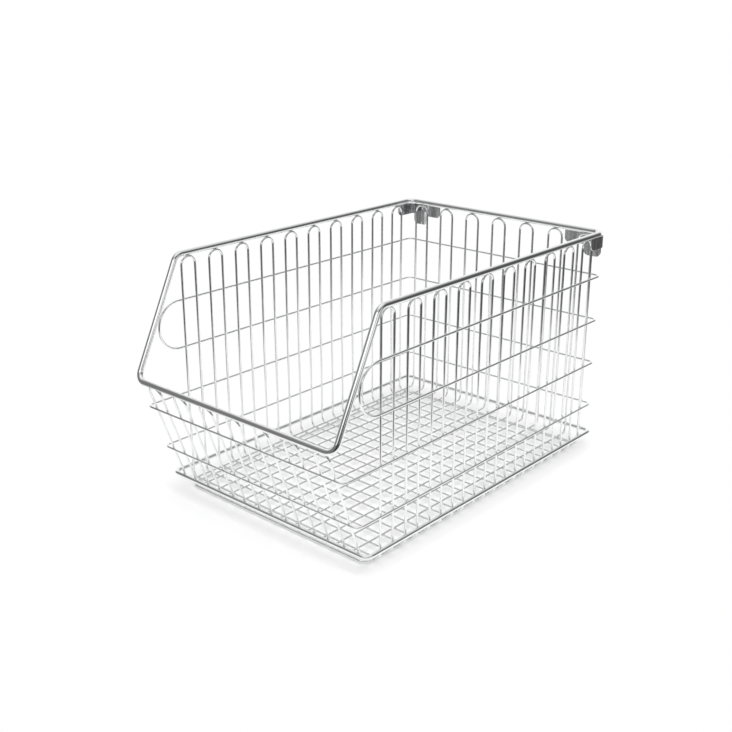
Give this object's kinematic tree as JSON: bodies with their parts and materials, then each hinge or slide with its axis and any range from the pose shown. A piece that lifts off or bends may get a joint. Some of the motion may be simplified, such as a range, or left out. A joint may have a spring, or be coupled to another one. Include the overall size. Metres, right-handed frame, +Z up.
{
  "type": "wire storage basket",
  "caption": "Open-front wire basket: a heavy rim dropped low at the front, closed wire loops for walls and floor, outer rings, a foot frame and sheet hooks at the rear corners.",
  "frame": {"origin": "on the floor under the middle of the basket, at the bottom centre of its box", "axes": "+X to the right across the basket, +Y from the open front to the back, +Z up"},
  "size_m": [0.2922, 0.456, 0.266],
  "materials": {
    "rim_chrome": "bright chrome plating",
    "wire_chrome": "bright chrome plating",
    "hook_chrome": "chrome-plated sheet, slightly duller"
  },
  "bodies": {
    "root": {"rim_frame": "rim_chrome", "upper_band": "wire_chrome", "middle_ring": "wire_chrome", "lower_ring": "wire_chrome", "base_ring": "wire_chrome", "foot_frame": "wire_chrome", "left_corner_hook": "hook_chrome", "right_corner_hook": "hook_chrome", "side_loop_1": "wire_chrome", "side_loop_2": "wire_chrome", "side_loop_3": "wire_chrome", "side_loop_4": "wire_chrome", "side_loop_5": "wire_chrome", "side_loop_6": "wire_chrome", "side_loop_7": "wire_chrome", "side_loop_8": "wire_chrome", "side_loop_9": "wire_chrome", "side_loop_10": "wire_chrome", "long_loop_1": "wire_chrome", "long_loop_2": "wire_chrome", "long_loop_3": "wire_chrome", "long_loop_4": "wire_chrome", "long_loop_5": "wire_chrome", "long_loop_6": "wire_chrome", "long_loop_7": "wire_chrome"}
  },
  "joints": []
}
